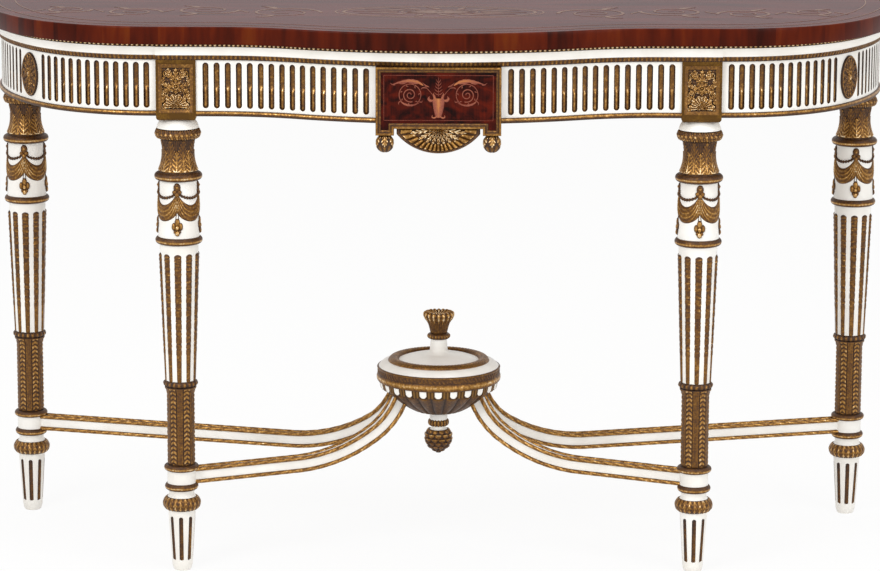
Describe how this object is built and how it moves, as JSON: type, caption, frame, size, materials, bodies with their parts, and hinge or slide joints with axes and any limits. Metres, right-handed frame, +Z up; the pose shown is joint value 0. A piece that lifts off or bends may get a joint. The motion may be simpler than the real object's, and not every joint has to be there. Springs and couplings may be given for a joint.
{
  "type": "console table",
  "caption": "Bow-fronted console table with fluted apron, turned gilt and white legs, curved stretchers that meet at a covered urn, and an inlaid mahogany top.",
  "frame": {"origin": "centre of the bounding box's underside, on the floor", "axes": "+X to the right along the length, +Y from the bowed front towards the wall, +Z up"},
  "size_m": [1.494, 0.536, 0.875],
  "materials": {
    "white_paint": "satin white paint over gesso on beech",
    "gilt": "antique gilding over gesso on carved beech, with dark glaze in the hollows",
    "mahogany_veneer": "french-polished flame mahogany veneer with pale inlay",
    "secondary_wood": "plain planed beech",
    "steel": "plain bright steel"
  },
  "bodies": {
    "root": {"back_rail": "secondary_wood", "block_plaques": "gilt", "corner_flute_reeds": "gilt", "corner_panel_left": "white_paint", "corner_panel_right": "white_paint", "cornice": "white_paint", "cross_rails": "secondary_wood", "foot_collars": "gilt", "front_flute_reeds": "gilt", "front_panel_left": "white_paint", "front_panel_right": "white_paint", "leaf_moulding": "gilt", "leg_ankles": "white_paint", "leg_block_front_left": "gilt", "leg_block_front_right": "gilt", "leg_block_rear_left": "gilt", "leg_block_rear_right": "gilt", "leg_drums": "white_paint", "leg_front_left_capital": "gilt", "leg_front_left_foot": "white_paint", "leg_front_left_shaft": "white_paint", "leg_front_left_sleeve": "gilt", "leg_front_right_capital": "gilt", "leg_front_right_foot": "white_paint", "leg_front_right_shaft": "white_paint", "leg_front_right_sleeve": "gilt", "leg_necks": "white_paint", "leg_rear_left_capital": "gilt", "leg_rear_left_foot": "white_paint", "leg_rear_left_shaft": "white_paint", "leg_rear_left_sleeve": "gilt", "leg_rear_right_capital": "gilt", "leg_rear_right_foot": "white_paint", "leg_rear_right_shaft": "white_paint", "leg_rear_right_sleeve": "gilt", "leg_reeds": "gilt", "leg_rings": "gilt", "leg_swags": "gilt", "leg_tie_rods": "steel", "lower_bead": "gilt", "paterae": "gilt", "pearl_string": "gilt", "stretcher_beads": "gilt", "stretcher_front_left": "white_paint", "stretcher_front_right": "white_paint", "stretcher_rear_left": "white_paint", "stretcher_rear_right": "white_paint", "tablet_drops": "gilt", "tablet_frame": "gilt", "tablet_panel": "mahogany_veneer", "tablet_shell": "gilt", "top_cleats": "secondary_wood", "top_core": "secondary_wood", "top_edge_band": "mahogany_veneer", "top_screws": "steel", "top_veneer": "mahogany_veneer", "urn_bowl": "gilt", "urn_drop": "gilt", "urn_finial": "gilt", "urn_lid": "white_paint"}
  },
  "joints": []
}
